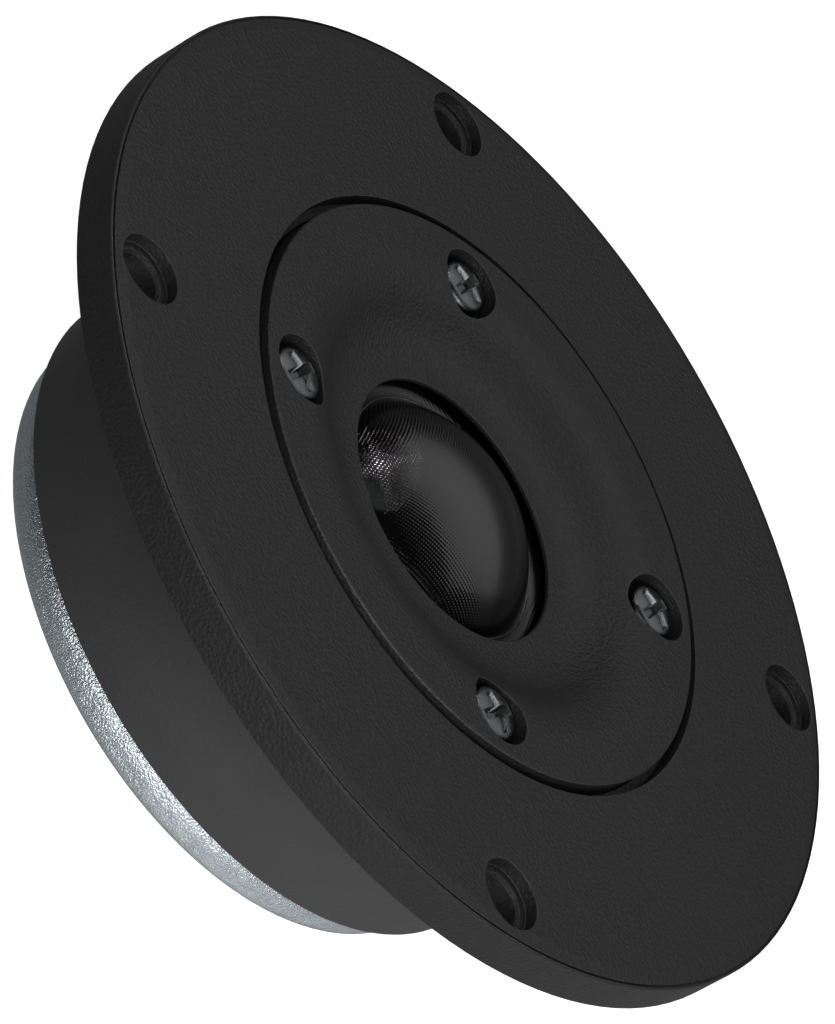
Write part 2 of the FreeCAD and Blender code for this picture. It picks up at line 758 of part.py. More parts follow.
def add_terminal(label, side, width):
    """A flat tab along the board's top, bent down over its end into a push-on blade."""
    terminal = new_body(label)
    centre = f"({side} * tab_spacing / 2)"
    left, right = f"{centre} - {width} / 2", f"{centre} + {width} / 2"
    strap = attached_sketch(terminal, label + "_strap_outline", "XY_Plane", BOARD_TOP)
    draw_box(strap, left, f"{BOARD_START} + tab_setback", right, f"{BOARD_END} + tab_thickness")
    add_circle(strap, "rivet_diameter / 2", centre, RIVET_REACH)
    add_pad(terminal, label + "_strap", strap, "tab_thickness")
    blade = attached_sketch(
        terminal, label + "_blade_outline", "XZ_Plane", f"-({BOARD_END} + tab_thickness)"
    )
    tip = f"{TAB_TOP} - tab_drop"
    draw_outline(
        blade,
        [
            (f"{left} + tab_tip_chamfer", tip),
            (f"{right} - tab_tip_chamfer", tip),
            (right, f"{tip} + tab_tip_chamfer"),
            (right, TAB_TOP),
            (left, TAB_TOP),
            (left, f"{tip} + tab_tip_chamfer"),
        ],
    )
    add_circle(blade, "tab_hole_diameter / 2", centre, f"{tip} + tab_hole_setback")
    add_pad(terminal, label + "_blade", blade, "tab_thickness")


add_terminal("positive_terminal", "1", "positive_tab_width")
add_terminal("negative_terminal", "-1", "negative_tab_width")

rivet = doc.addObject("PartDesign::Body", "rivet_body")
add_turned(
    rivet,
    "rivet_turned",
    [
        ("0", f"{HUB_BACK} - rivet_head_height"),
        ("rivet_head_diameter / 2 - rivet_head_height / 2", f"{HUB_BACK} - rivet_head_height"),
        ("rivet_head_diameter / 2", f"{HUB_BACK} - rivet_head_height / 2"),
        ("rivet_head_diameter / 2", HUB_BACK),
        ("rivet_diameter / 2", HUB_BACK),
        ("rivet_diameter / 2", TAB_TOP),
        ("rivet_head_diameter / 2", TAB_TOP),
        ("rivet_head_diameter / 2", f"{TAB_TOP} + rivet_head_height / 2"),
        ("rivet_head_diameter / 2 - rivet_head_height / 2", f"{TAB_TOP} + rivet_head_height"),
        ("0", f"{TAB_TOP} + rivet_head_height"),
    ],
)
doc.recompute()
RIVET_PLACES = [
    FreeCAD.Vector(side * value("tab_spacing / 2"), value(RIVET_REACH), 0) for side in (1, -1)
]
copies("terminal_rivets", rivet, RIVET_PLACES)

BOLT_HEAD = f"({HUB_BACK} - terminal_screw_head_height)"
BOLT_TIP = f"({RECESS_FLOOR} + terminal_screw_depth)"
bolt = turned_piece(
    "terminal_screw",
    [
        ("0", BOLT_HEAD),
        ("terminal_screw_head_diameter / 2 - head_round", BOLT_HEAD, "head_round", -1),
        ("terminal_screw_head_diameter / 2", f"{BOLT_HEAD} + head_round"),
        ("terminal_screw_head_diameter / 2", HUB_BACK),
        ("terminal_screw_diameter / 2", HUB_BACK),
        ("terminal_screw_diameter / 2", f"{BOLT_TIP} - screw_tip_chamfer"),
        ("terminal_screw_diameter / 2 - screw_tip_chamfer", BOLT_TIP),
        ("0", BOLT_TIP),
    ],
)
doc.recompute()
for way, across, up in (
    ("along", "terminal_recess_span", "recess_width / 2"),
    ("aside", "recess_width / 2", "terminal_recess_span"),
):
    cut_box(
        bolt,
        f"terminal_screw_recess_{way}",
        f"-{across} / 2",
        f"-{up} / 2",
        f"{across} / 2",
        f"{up} / 2",
        f"{BOLT_HEAD} + terminal_screw_head_height / 2",
        "terminal_screw_head_height",
    )
bolt.setExpression("Placement.Base.y", bind(BOSS_REACH))


# Coil leads: fine wires under the suspension, through the carrier's slots and onto the tabs
def rounded_wire(points):
    """Straight runs between points, joined by tangent arcs that take 0.45 of the shorter run."""
    reach_share = 0.45
    edges = []
    start = points[0]
    for before, corner, after in zip(points, points[1:], points[2:]):
        reach = reach_share * min((corner - before).Length, (after - corner).Length)
        enter = corner + (before - corner).normalize() * reach
        leave = corner + (after - corner).normalize() * reach
        half_turn = (corner - before).getAngle(after - corner) / 2
        inwards = (enter + leave - corner * 2).normalize()
        middle = corner + inwards * reach * math.tan(half_turn / 2)
        edges.append(Part.LineSegment(start, enter).toShape())
        edges.append(Part.Arc(enter, middle, leave).toShape())
        start = leave
    edges.append(Part.LineSegment(start, points[-1]).toShape())
    return Part.Wire(edges)


def add_lead(name, side):
    """A lead wire and the place where it is soldered to its tab."""
    radius = value("lead_diameter / 2")
    offset, drift = side * value("lead_offset"), side * value("lead_drift")
    coil_side = value(f"{FORMER_RADIUS} + lead_diameter / 2 + lead_standoff")
    low, high = value(f"{RIM_PLANE} - lead_height"), value(f"{TAB_TOP} + lead_diameter / 2")
    tab_start = value(f"{BOARD_START} + tab_setback")
    points = [
        FreeCAD.Vector(offset, math.sqrt(coil_side * coil_side - offset * offset), low),
        FreeCAD.Vector(offset, value(RING_INNER), low),
        FreeCAD.Vector(offset + drift / 2, value(f"{RING_OUTER} - lead_diameter"), low),
        FreeCAD.Vector(offset + drift, tab_start - value("solder_diameter / 2"), high),
        FreeCAD.Vector(offset + drift * 2, tab_start + value("solder_diameter"), high),
    ]
    path = rounded_wire(points)
    outline = Part.Wire(Part.makeCircle(radius, points[0], points[1] - points[0]))
    lead = doc.addObject("Part::Feature", f"{name}_lead_sweep")
    lead.Shape = path.makePipeShell([outline], True, False)
    name_piece(lead, f"{name}_lead")
    return lead, points[-1]


joints = []
for name, side in (("positive", 1), ("negative", -1)):
    lead, end = add_lead(name, side)
    foot = FreeCAD.Vector(end.x, end.y, value(TAB_TOP))
    radius, rise = value("solder_diameter / 2"), value("solder_height")
    drop = Part.makeCone(radius, radius / 2, rise, foot)
    joints.append(drop.cut(lead.Shape))
solder = doc.addObject("Part::Feature", "solder_group")
solder.Shape = Part.makeCompound(joints)
name_piece(solder, "solder_joints")

# Every feature has to be sound before anything is written
doc.recompute()
for item in doc.Objects:
    if "Invalid" in item.State or "Error" in item.State:
        raise RuntimeError(f"{item.Name} failed to compute")
for label, piece in pieces.items():
    if piece.Shape.isNull() or not piece.Shape.isValid():
        raise RuntimeError(f"{label} has no valid shape")

os.makedirs("parts", exist_ok=True)
for label, piece in pieces.items():
    piece.Shape.exportStep(f"parts/{label}.step")
    solids = len(piece.Shape.Solids)
    print(f"{label}: {solids} solids, {piece.Shape.Volume:.2f} mm3")
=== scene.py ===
# %% [markdown]
# # A dome tweeter and its finishes
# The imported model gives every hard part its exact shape. This script opens it, sets up a small studio,
# makes the soft and the finely shaped pieces again in more detail, and gives every part its finish.
# All lengths in the scene are metres. Z points the way the dome fires, and the rear plate stands on the
# floor at zero.

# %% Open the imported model
import math

import bmesh
import bpy
from mathutils import Matrix, Vector


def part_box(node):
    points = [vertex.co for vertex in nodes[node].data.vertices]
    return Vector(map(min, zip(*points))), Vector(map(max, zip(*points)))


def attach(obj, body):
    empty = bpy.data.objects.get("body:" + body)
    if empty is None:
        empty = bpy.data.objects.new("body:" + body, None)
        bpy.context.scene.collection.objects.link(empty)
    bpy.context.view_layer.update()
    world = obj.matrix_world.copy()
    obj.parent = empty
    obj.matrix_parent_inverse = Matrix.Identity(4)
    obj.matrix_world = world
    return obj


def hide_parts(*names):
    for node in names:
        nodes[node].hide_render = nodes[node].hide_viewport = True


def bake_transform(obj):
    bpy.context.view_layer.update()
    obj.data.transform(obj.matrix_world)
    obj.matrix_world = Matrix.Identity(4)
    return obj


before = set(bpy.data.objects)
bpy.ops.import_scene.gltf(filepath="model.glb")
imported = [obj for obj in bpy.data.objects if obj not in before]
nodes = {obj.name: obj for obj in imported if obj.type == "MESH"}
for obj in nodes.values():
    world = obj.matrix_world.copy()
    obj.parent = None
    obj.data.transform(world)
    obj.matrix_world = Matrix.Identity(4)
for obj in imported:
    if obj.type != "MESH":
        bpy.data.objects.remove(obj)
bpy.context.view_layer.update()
print("parts in the packed model:", len(nodes))

# %% [markdown]
# ## The camera
# A long lens stands about 0.6 m away, in front of and above the face, so the circles turn into calm
# ellipses with hardly any perspective. The camera is rolled a good way over, which makes the lying
# tweeter look as if it leaned to the left. Three axes written out one by one place it: the direction of
# sight, the picture's right and the picture's up.

# %% Place the camera
sight = Vector((0.0022, 0.8674, -0.4975)).normalized()
up = Vector((-0.8661, 0.2503, 0.4326))
right = sight.cross(up).normalized()
up = right.cross(sight)
lens = bpy.data.cameras.new("long_lens")
lens.lens = 245.2
lens.sensor_width = 36
lens.shift_x, lens.shift_y = -0.0007, 0.0114
camera = bpy.data.objects.new("camera", lens)
stand = Matrix.Translation((-0.0020, -0.5858, 0.3600))
camera.matrix_world = stand @ Matrix((right, up, -sight)).transposed().to_4x4()
bpy.context.scene.collection.objects.link(camera)
bpy.context.scene.camera = camera
print("camera stands", round(camera.location.length, 3), "m from the rear plate's centre")

# %% [markdown]
# ## The studio
# The tweeter is nearly black, so what the viewer sees of it is mostly the reflection of its lights. One
# large soft box hangs behind and above it. Its picture fills the middle of the dome, and its sheen makes
# the flat face a dark grey. A small bright lamp on the left sets off the glints in the dome's weave and
# on the screws. A low panel in front, too low for the dome to see, brightens the near half of the face,
# the sleeve and the zinc. The surroundings stay dark, so that the dome keeps its black parts.

# %% Hang the lights
middle = Vector((0, 0, 0.028))


def hang_light(name, direction, distance, width, height, power):
    """A rectangular light, turned to face the tweeter."""
    light = bpy.data.lights.new(name, "AREA")
    light.shape = "RECTANGLE"
    light.size, light.size_y = width, height
    light.energy = power
    lamp = bpy.data.objects.new(name, light)
    lamp.location = middle + Vector(direction).normalized() * distance
    lamp.rotation_euler = (middle - lamp.location).to_track_quat("-Z", "Y").to_euler()
    lamp.visible_camera = False
    bpy.context.scene.collection.objects.link(lamp)
    print(name, "at", tuple(round(x, 2) for x in lamp.location), power, "W")


hang_light("soft_box", (0.03, 0.47, 0.88), 0.855, 1.55, 0.90, 4.2)
hang_light("glint_lamp", (-0.71, 0.05, 0.70), 0.70, 0.05, 0.05, 0.6)
hang_light("low_panel", (0.30, -0.86, 0.40), 0.34, 0.36, 0.16, 1.0)

# %% [markdown]
# The floor is a wide pale bowl: flat under the tweeter and curving up far away, so that there is no
# horizon from any side. It glows a little by itself and is left out of what the tweeter reflects. The
# light that a real white table throws back comes from the world instead, where it can be kept gentle.

# %% Lay the floor
def lay_floor():
    """A disc whose outer loops rise like the rim of a bowl."""
    bm = bmesh.new()
    bmesh.ops.create_circle(bm, segments=96, radius=1.6, cap_ends=True)
    for reach, rise in ((1.25, 0.12), (1.18, 0.45), (1.1, 0.9), (1.05, 1.3)):
        rim = [edge for edge in bm.edges if edge.is_boundary]
        made = bmesh.ops.extrude_edge_only(bm, edges=rim)["geom"]
        ring = [item for item in made if isinstance(item, bmesh.types.BMVert)]
        bmesh.ops.scale(bm, vec=(reach, reach, 1), verts=ring)
        bmesh.ops.translate(bm, vec=(0, 0, rise), verts=ring)
    bmesh.ops.recalc_face_normals(bm, faces=bm.faces)
    mesh = bpy.data.meshes.new("studio_floor")
    bm.to_mesh(mesh)
    bm.free()
    mesh.shade_smooth()
    floor = bpy.data.objects.new("studio_floor", mesh)
    bpy.context.scene.collection.objects.link(floor)
    return floor


floor = lay_floor()
floor.visible_diffuse = False
floor.visible_glossy = False
print("floor faces:", len(floor.data.polygons))

# %% [markdown]
# ## Writing shader maths in Python
# A pattern is a sum of many small nodes. To keep it readable, a `Wire` wraps one socket, and `+ - *`
# on it add the Math nodes. A `Paint` is one material. Its only way to make any other node is `node`,
# which takes the node's type, its settings, and the numbers or wires of its sockets.

# %% Wires and paints
class Wire:
    """A node's output that Python's operators can reckon with."""

    def __init__(self, paint, socket):
        self.paint = paint
        self.socket = socket

    def maths(self, operation, *values):
        return self.paint.node("ShaderNodeMath", {"operation": operation}, dict(enumerate(values)))

    def __add__(self, other):
        return self.maths("ADD", self, other)

    def __sub__(self, other):
        return self.maths("SUBTRACT", self, other)

    def __rsub__(self, other):
        return self.maths("SUBTRACT", other, self)

    def __mul__(self, other):
        return self.maths("MULTIPLY", self, other)

    __radd__ = __add__
    __rmul__ = __mul__


class Paint:
    """A material, and the one method that makes its nodes."""

    def __init__(self, name, sockets=None):
        self.material = bpy.data.materials.new(name)
        self.material.use_nodes = True
        self.tree = self.material.node_tree
        self.shader = self.tree.nodes["Principled BSDF"]
        for key, value in (sockets or {}).items():
            self.feed(self.shader, key, value)

    def node(self, kind, settings, values, output=0):
        """Make a node: settings first, then the sockets, and return one of its outputs."""
        made = self.tree.nodes.new(kind)
        for key, setting in settings.items():
            if key == "stops":
                self.set_stops(made.color_ramp, setting)
            else:
                setattr(made, key, setting)
        for key, value in values.items():
            self.feed(made, key, value)
        return Wire(self, self.pick(made.outputs, output))

    def feed(self, node, key, value):
        """Give a socket a wire, or a plain number, vector or colour."""
        socket = self.pick(node.inputs, key)
        if isinstance(value, Wire):
            self.tree.links.new(value.socket, socket)
        else:
            socket.default_value = value

    @staticmethod
    def pick(sockets, key):
        """A socket by its number, or by its identifier or name."""
        if isinstance(key, int):
            return sockets[key]
        return next(socket for socket in sockets if key in (socket.identifier, socket.name))

    @staticmethod
    def set_stops(ramp, stops):
        """Fill a colour ramp from (position, grey) pairs."""
        while len(ramp.elements) < len(stops):
            ramp.elements.new(1)
        for number, (position, grey) in enumerate(stops):
            ramp.elements[number].position = position
            ramp.elements[number].color = (grey, grey, grey, 1)


# %% [markdown]
# Three helpers turn up in almost every finish: a colour between two others, a noise that reads the
# piece's own coordinates in metres, and the rounded edge. Real moulded and turned edges are never
# perfectly sharp, and it is the light they catch that draws their outline. The Bevel node bends the
# normal near an edge as if it were rounded, without touching the model's mesh. Where it differs from the
# surface's own normal there is an edge, and there the finishes paint a pale colour as a painted highlight.

# %% Common patterns
# How strongly the edge mask paints pale edges: a painted highlight.
PAINTED_EDGE_HIGHLIGHT = 2.2


def place(paint):
    """The piece's own coordinates, in metres."""
    return paint.node("ShaderNodeTexCoord", {}, {}, "Object")


def blend_colour(paint, share, low, high):
    """A colour between low and high."""
    return paint.node(
        "ShaderNodeMix",
        {"data_type": "RGBA"},
        {"Factor_Float": share, "A_Color": low, "B_Color": high},
        "Result_Color",
    )


def noise(paint, size, detail=3.0, where=None):
    """Soft noise from 0 to 1, whose blotches are about size millimetres wide."""
    return paint.node(
        "ShaderNodeTexNoise",
        {},
        {"Vector": where or place(paint), "Scale": 1000 / size, "Detail": detail},
        "Fac",
    )


def cells(paint, size, feature="F1"):
    """The distance to the nearest of many scattered points, about size millimetres apart."""
    return paint.node(
        "ShaderNodeTexVoronoi",
        {"feature": feature},
        {"Vector": place(paint), "Scale": 1000 / size},
        "Distance",
    )


def rounded(paint, radius):
    """A normal that bends round the piece's edges, and how much of an edge there is, for a painted
    highlight.
    """
    soft = paint.node("ShaderNodeBevel", {"samples": 4}, {"Radius": radius / 1000})
    own = paint.node("ShaderNodeNewGeometry", {}, {}, "Normal")
    dot = {"operation": "DOT_PRODUCT"}
    alike = paint.node("ShaderNodeVectorMath", dot, {0: soft, 1: own}, "Value")
    # The edge share, scaled up, is where the finishes paint a pale edge highlight.
    return soft, (1 - alike) * PAINTED_EDGE_HIGHLIGHT


def painted_round_highlight(paint):
    """1 on a modelled round or chamfer, whose normal points neither along the axis nor across it."""
    # This mask marks the rounds, where the plastic gets a painted highlight.
    normal = paint.node("ShaderNodeTexCoord", {}, {}, "Normal")
    upright = paint.node("ShaderNodeSeparateXYZ", {}, {"Vector": normal}, "Z")
    upright = upright.maths("ABSOLUTE", upright)
    stops = [(0.15, 0.0), (0.28, 1.0), (0.60, 1.0), (0.69, 0.0)]
    return paint.node("ShaderNodeValToRGB", {"stops": stops}, {"Fac": upright})


def bump(paint, height, depth, strength=1.0, normal=None):
    """Relief whose white stands depth millimetres above its black."""
    values = {"Height": height, "Distance": depth / 1000, "Strength": strength}
    if normal:
        values["Normal"] = normal
    return paint.node("ShaderNodeBump", {}, values)


def paint_floor():
    """A pale, faintly glowing table."""
    paint = Paint("pale_table", {"Roughness": 0.9, "Specular IOR Level": 0.0})
    shade = blend_colour(paint, noise(paint, 400), (0.80, 0.80, 0.80, 1), (0.84, 0.84, 0.84, 1))
    paint.feed(paint.shader, "Base Color", shade)
    paint.feed(paint.shader, "Emission Color", (1, 1, 1, 1))
    paint.feed(paint.shader, "Emission Strength", 0.86)
    return paint.material


floor.data.materials.append(paint_floor())
print("materials so far:", len(bpy.data.materials))

# %% [markdown]
# The world is the room around the tweeter. It is dark overhead. Near the horizon and below it stands for
# the light that a white table throws back, which is strongest on the right, where a window would be. One
# ramp reads how far a direction points to the right and down, and a second one shuts the light off above
# the horizon.

# %% Light the room
class Room(Paint):
    """The world's own tree, which ends in its background."""

    def __init__(self, name):
        world = bpy.data.worlds.new(name)
        world.use_nodes = True
        bpy.context.scene.world = world
        self.tree = world.node_tree
        self.shader = self.tree.nodes["Background"]


def light_world():
    room = Room("dark_room")
    aim = room.node("ShaderNodeTexCoord", {}, {}, "Generated")
    towards = (0.42, -0.10, -0.20)
    dot = {"operation": "DOT_PRODUCT"}
    side = room.node("ShaderNodeVectorMath", dot, {0: aim, 1: towards}, "Value")
    height = room.node("ShaderNodeSeparateXYZ", {}, {"Vector": aim}, "Z")
    glow_stops = [(0.10, 0.13), (0.40, 0.17), (0.60, 0.24), (0.82, 0.42), (0.98, 0.80)]
    glow = room.node("ShaderNodeValToRGB", {"stops": glow_stops}, {"Fac": side + 0.5})
    shut_stops = [(0.53, 1.0), (0.60, 0.03)]
    shut = room.node("ShaderNodeValToRGB", {"stops": shut_stops}, {"Fac": height * 0.5 + 0.5})
    room.feed(room.shader, "Color", glow * shut)


light_world()
bpy.context.scene.view_settings.view_transform = "Standard"
print("colours are shown as", bpy.context.scene.view_settings.view_transform)

# %% [markdown]
# ## Grained black plastic
# The flange and the waveguide plate are moulded from black plastic with a fine leather grain, about
# a third of a millimetre across. Scattered cells give the pebbles and a finer noise roughens them. The
# modelled rounds are a little glossier, and the edges and rounds are painted paler as a painted highlight.

# %% Grained black plastic
def grained_plastic():
    paint = Paint("grained_plastic", {"Specular IOR Level": 0.32})
    normal, edge = rounded(paint, 0.16)
    round_highlight = painted_round_highlight(paint)
    pebbles = cells(paint, 0.34, "SMOOTH_F1")
    fine = noise(paint, 0.16, 2)
    cloud = noise(paint, 9)
    mottle = cloud * 0.5 + pebbles * 0.7
    shade = blend_colour(paint, mottle, (0.008, 0.0082, 0.0085, 1), (0.018, 0.0183, 0.0188, 1))
    # Painted highlight: the edges, then the modelled rounds, are painted paler.
    shade = blend_colour(paint, edge, shade, (0.11, 0.112, 0.115, 1))
    paint.feed(paint.shader, "Base Color", blend_colour(paint, round_highlight, shade, (0.05, 0.051, 0.052, 1)))
    paint.feed(paint.shader, "Roughness", cloud * 0.10 + fine * 0.08 - round_highlight * 0.06 + 0.43)
    paint.feed(paint.shader, "Normal", bump(paint, pebbles + fine * 0.45, 0.11, 1.0, normal))
    return paint.material


def dress(material, *names):
    """Give CAD nodes a finish."""
    for name in names:
        nodes[name].data.materials.clear()
        nodes[name].data.materials.append(material)
    print(material.name, "on", ", ".join(names))


dress(grained_plastic(), "mounting_flange", "waveguide_plate")

# %% [markdown]
# ## The smooth sleeve
# The sleeve round the magnet is plain extruded plastic. It has hardly any grain, only a soft unevenness
# and very fine scuffs from handling.

# %% Sleeve plastic
def sleeve_plastic():
    paint = Paint("sleeve_plastic", {"Specular IOR Level": 0.5})
    normal, edge = rounded(paint, 0.12)
    cloud = noise(paint, 6)
    scuffs = noise(paint, 0.35, 4)
    mottle = cloud * 0.6 + scuffs * 0.4
    shade = blend_colour(paint, mottle, (0.025, 0.0253, 0.0258, 1), (0.044, 0.0444, 0.045, 1))
    # Painted highlight: the edges are painted a paler grey.
    paint.feed(paint.shader, "Base Color", blend_colour(paint, edge, shade, (0.07, 0.071, 0.073, 1)))
    paint.feed(paint.shader, "Roughness", scuffs * 0.16 + 0.42)
    paint.feed(paint.shader, "Normal", bump(paint, scuffs + cloud, 0.06, 1.0, normal))
    return paint.material


dress(sleeve_plastic(), "magnet_cover")

# %% [markdown]
# ## Zinc-plated steel
# The rear plate is a pressed steel disc with a bluish zinc plating. Plating is a patchwork of tiny
# crystals that each mirror another way, so the surface sparkles in fine mottles. Crystal cells and soft
# clouds vary the shade, and a shallow bump of both tips the crystals apart.

# %% Zinc plating
def zinc_plating(name):
    paint = Paint(name, {"Metallic": 1.0})
    normal, edge = rounded(paint, 0.2)
    crystals = cells(paint, 0.24)
    grit = noise(paint, 0.16, 3)
    cloud = noise(paint, 2.2, 4)
    stain = noise(paint, 7, 2)
    mottle = crystals * 0.35 + cloud * 0.65
    shade = blend_colour(paint, mottle, (0.38, 0.44, 0.48, 1), (0.88, 0.93, 0.95, 1))
    shade = blend_colour(paint, stain, shade, (0.62, 0.70, 0.74, 1))
    # Painted highlight: the edges are painted a paler zinc.
    paint.feed(paint.shader, "Base Color", blend_colour(paint, edge, shade, (0.85, 0.88, 0.90, 1)))
    paint.feed(paint.shader, "Roughness", grit * 0.14 + cloud * 0.16 + 0.06)
    relief = crystals * 0.7 + grit + cloud * 2.0
    paint.feed(paint.shader, "Normal", bump(paint, relief, 0.10, 1.0, normal))
    return paint.material


dress(zinc_plating("zinc_plate"), "rear_plate")
dress(zinc_plating("zinc_screw"), "terminal_screw")

# %% [markdown]
# ## Turned metal
# The top plate, the pole, the copper cap and the coil's former are turned on a lathe, which leaves fine
# rings about the axis. The pattern needs the distance from the axis and the height, so one length is
# taken out of the coordinates first, and a sine of it draws the rings.

# %% Turned metals
def rings(paint, pitch):
    """Fine tool marks round the axis, a pitch in millimetres apart, from 0 to 1."""
    where = place(paint)
    level = paint.node("ShaderNodeVectorMath", {"operation": "MULTIPLY"}, {0: where, 1: (1, 1, 0)})
    reach = paint.node("ShaderNodeVectorMath", {"operation": "LENGTH"}, {0: level}, "Value")
    height = paint.node("ShaderNodeSeparateXYZ", {}, {"Vector": where}, "Z")
    turns = (reach + height) * (1000 / pitch * math.tau)
    return turns.maths("SINE", turns) * 0.5 + 0.5


def turned_metal(name, dark, light, pitch, rough):
    paint = Paint(name, {"Metallic": 1.0})
    normal, edge = rounded(paint, 0.12)
    marks = rings(paint, pitch)
    cloud = noise(paint, 4)
    shade = blend_colour(paint, cloud, dark, light)
    # Painted highlight: the edges are painted in the light colour.
    paint.feed(paint.shader, "Base Color", blend_colour(paint, edge, shade, light))
    paint.feed(paint.shader, "Roughness", marks * 0.08 + cloud * 0.15 + rough)
    paint.feed(paint.shader, "Normal", bump(paint, marks, 0.006, 0.6, normal))
    return paint.material


for name, dark, light, pitch, rough, dressed in (
    ("turned_steel", (0.30, 0.29, 0.28, 1), (0.46, 0.45, 0.44, 1), 0.18, 0.24, ("top_plate", "pole_piece")),
    ("turned_copper", (0.62, 0.27, 0.16, 1), (0.86, 0.42, 0.27, 1), 0.22, 0.20, ("copper_cap",)),
    ("aluminium_foil", (0.62, 0.62, 0.63, 1), (0.80, 0.80, 0.81, 1), 0.12, 0.28, ("voice_coil_former",)),
    ("copper_winding", (0.35, 0.10, 0.035, 1), (0.62, 0.22, 0.09, 1), 0.11, 0.16, ("voice_coil_winding",)),
):
    dress(turned_metal(name, dark, light, pitch, rough), *dressed)

# %% [markdown]
# ## Ferrite
# The ring magnet is a pressed and sintered ceramic. It is charcoal grey and dull, with darker pores and
# a few chalky specks.

# %% Ferrite
def ferrite():
    paint = Paint("sintered_ferrite")
    normal, edge = rounded(paint, 0.15)
    pores = cells(paint, 0.5)
    dust = noise(paint, 0.2, 5)
    shade = blend_colour(paint, pores, (0.022, 0.022, 0.023, 1), (0.055, 0.055, 0.056, 1))
    # Painted highlight: the edges are painted a paler grey.
    paint.feed(paint.shader, "Base Color", blend_colour(paint, edge * 0.6, shade, (0.12, 0.12, 0.12, 1)))
    paint.feed(paint.shader, "Roughness", dust * 0.2 + 0.55)
    paint.feed(paint.shader, "Normal", bump(paint, pores + dust, 0.03, 0.6, normal))
    return paint.material


dress(ferrite(), "ferrite_magnet")

# %% [markdown]
# ## The terminal board and its metal
# The board is phenolic paper: brown, a little shiny, with long pressed fibres. The tabs are stamped from
# tinned brass, with the grain of the rolled strip along them, and the solder is a smooth bright drop.

# %% Board, tabs, rivets and solder
def board_laminate():
    paint = Paint("phenolic_board")
    normal, edge = rounded(paint, 0.1)
    stretched = paint.node("ShaderNodeMapping", {}, {"Vector": place(paint), "Scale": (1, 0.12, 1)})
    fibres = noise(paint, 0.4, 5, stretched)
    shade = blend_colour(paint, fibres, (0.10, 0.045, 0.02, 1), (0.26, 0.13, 0.06, 1))
    # Painted highlight: the edges are painted a paler brown.
    paint.feed(paint.shader, "Base Color", blend_colour(paint, edge, shade, (0.42, 0.27, 0.16, 1)))
    paint.feed(paint.shader, "Roughness", fibres * 0.2 + 0.30)
    paint.feed(paint.shader, "Normal", bump(paint, fibres, 0.015, 0.5, normal))
    return paint.material


def soft_metal(name, dark, light, grain, rough, along):
    """Rolled or molten metal, with its grain stretched along one way."""
    paint = Paint(name, {"Metallic": 1.0})
    normal, edge = rounded(paint, 0.08)
    stretched = paint.node("ShaderNodeMapping", {}, {"Vector": place(paint), "Scale": along})
    streaks = noise(paint, grain, 4, stretched)
    tarnish = noise(paint, 3)
    shade = blend_colour(paint, tarnish * 0.6 + streaks * 0.4, dark, light)
    # Painted highlight: the edges are painted in the light colour.
    paint.feed(paint.shader, "Base Color", blend_colour(paint, edge, shade, light))
    paint.feed(paint.shader, "Roughness", streaks * 0.2 + tarnish * 0.12 + rough)
    paint.feed(paint.shader, "Normal", bump(paint, streaks, 0.006, 0.5, normal))
    return paint.material


dress(board_laminate(), "terminal_board")
tin = soft_metal("tin", (0.50, 0.49, 0.46, 1), (0.78, 0.77, 0.74, 1), 0.12, 0.22, (1, 0.08, 0.08))
dress(tin, "positive_terminal", "negative_terminal", "terminal_rivets")
solder = soft_metal("solder_drop", (0.52, 0.53, 0.55, 1), (0.80, 0.81, 0.83, 1), 0.5, 0.14, (1, 1, 1))
dress(solder, "solder_joints")

# %% [markdown]
# ## The carrier ring
# The ring that centres the diaphragm is moulded in a harder, satin black plastic without grain.

# %% Carrier plastic
def carrier_plastic():
    paint = Paint("satin_plastic")
    normal, edge = rounded(paint, 0.1)
    flow = noise(paint, 2.5, 4)
    shade = blend_colour(paint, flow, (0.014, 0.014, 0.015, 1), (0.024, 0.024, 0.025, 1))
    # Painted highlight: the edges are painted a paler grey.
    paint.feed(paint.shader, "Base Color", blend_colour(paint, edge, shade, (0.06, 0.06, 0.06, 1)))
    paint.feed(paint.shader, "Roughness", flow * 0.15 + 0.32)
    paint.feed(paint.shader, "Normal", bump(paint, flow, 0.01, 0.4, normal))
    return paint.material


dress(carrier_plastic(), "diaphragm_ring")

# %% [markdown]
# ## Making pieces by turning
# Every new piece here is round. A few points draw half of its section in the XZ plane, in millimetres,
# and Spin carries them once round the axis. After that, doubles at the axis are merged and the faces are
# made to look outwards.

# %% Turning helpers
MM = 0.001
ROUND = 128


def spin_section(bm):
    """Carry everything drawn so far once round the Z axis."""
    bmesh.ops.spin(
        bm,
        geom=bm.verts[:] + bm.edges[:],
        cent=(0, 0, 0),
        axis=(0, 0, 1),
        angle=math.tau,
        steps=ROUND,
        use_merge=True,
    )
    bmesh.ops.remove_doubles(bm, verts=bm.verts, dist=MM / 1000)
    bmesh.ops.recalc_face_normals(bm, faces=bm.faces)


def draw_section(bm, corners, closed=True):
    """Join (radius, height) corners by edges, in millimetres."""
    points = [bm.verts.new((radius * MM, 0, height * MM)) for radius, height in corners]
    for start, end in zip(points, points[1:]):
        bm.edges.new((start, end))
    if closed:
        bm.edges.new((points[-1], points[0]))


def finish_piece(bm, name, material, body, node=None):
    """Turn the mesh into a smooth piece that rides on a body and may stand for a CAD node."""
    mesh = bpy.data.meshes.new(name)
    bm.to_mesh(mesh)
    bm.free()
    mesh.shade_smooth()
    mesh.materials.append(material)
    piece = bpy.data.objects.new(name, mesh)
    bpy.context.scene.collection.objects.link(piece)
    if body:
        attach(piece, body)
    if node:
        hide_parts(node)
    print(name, "has", len(mesh.polygons), "faces")
    return piece


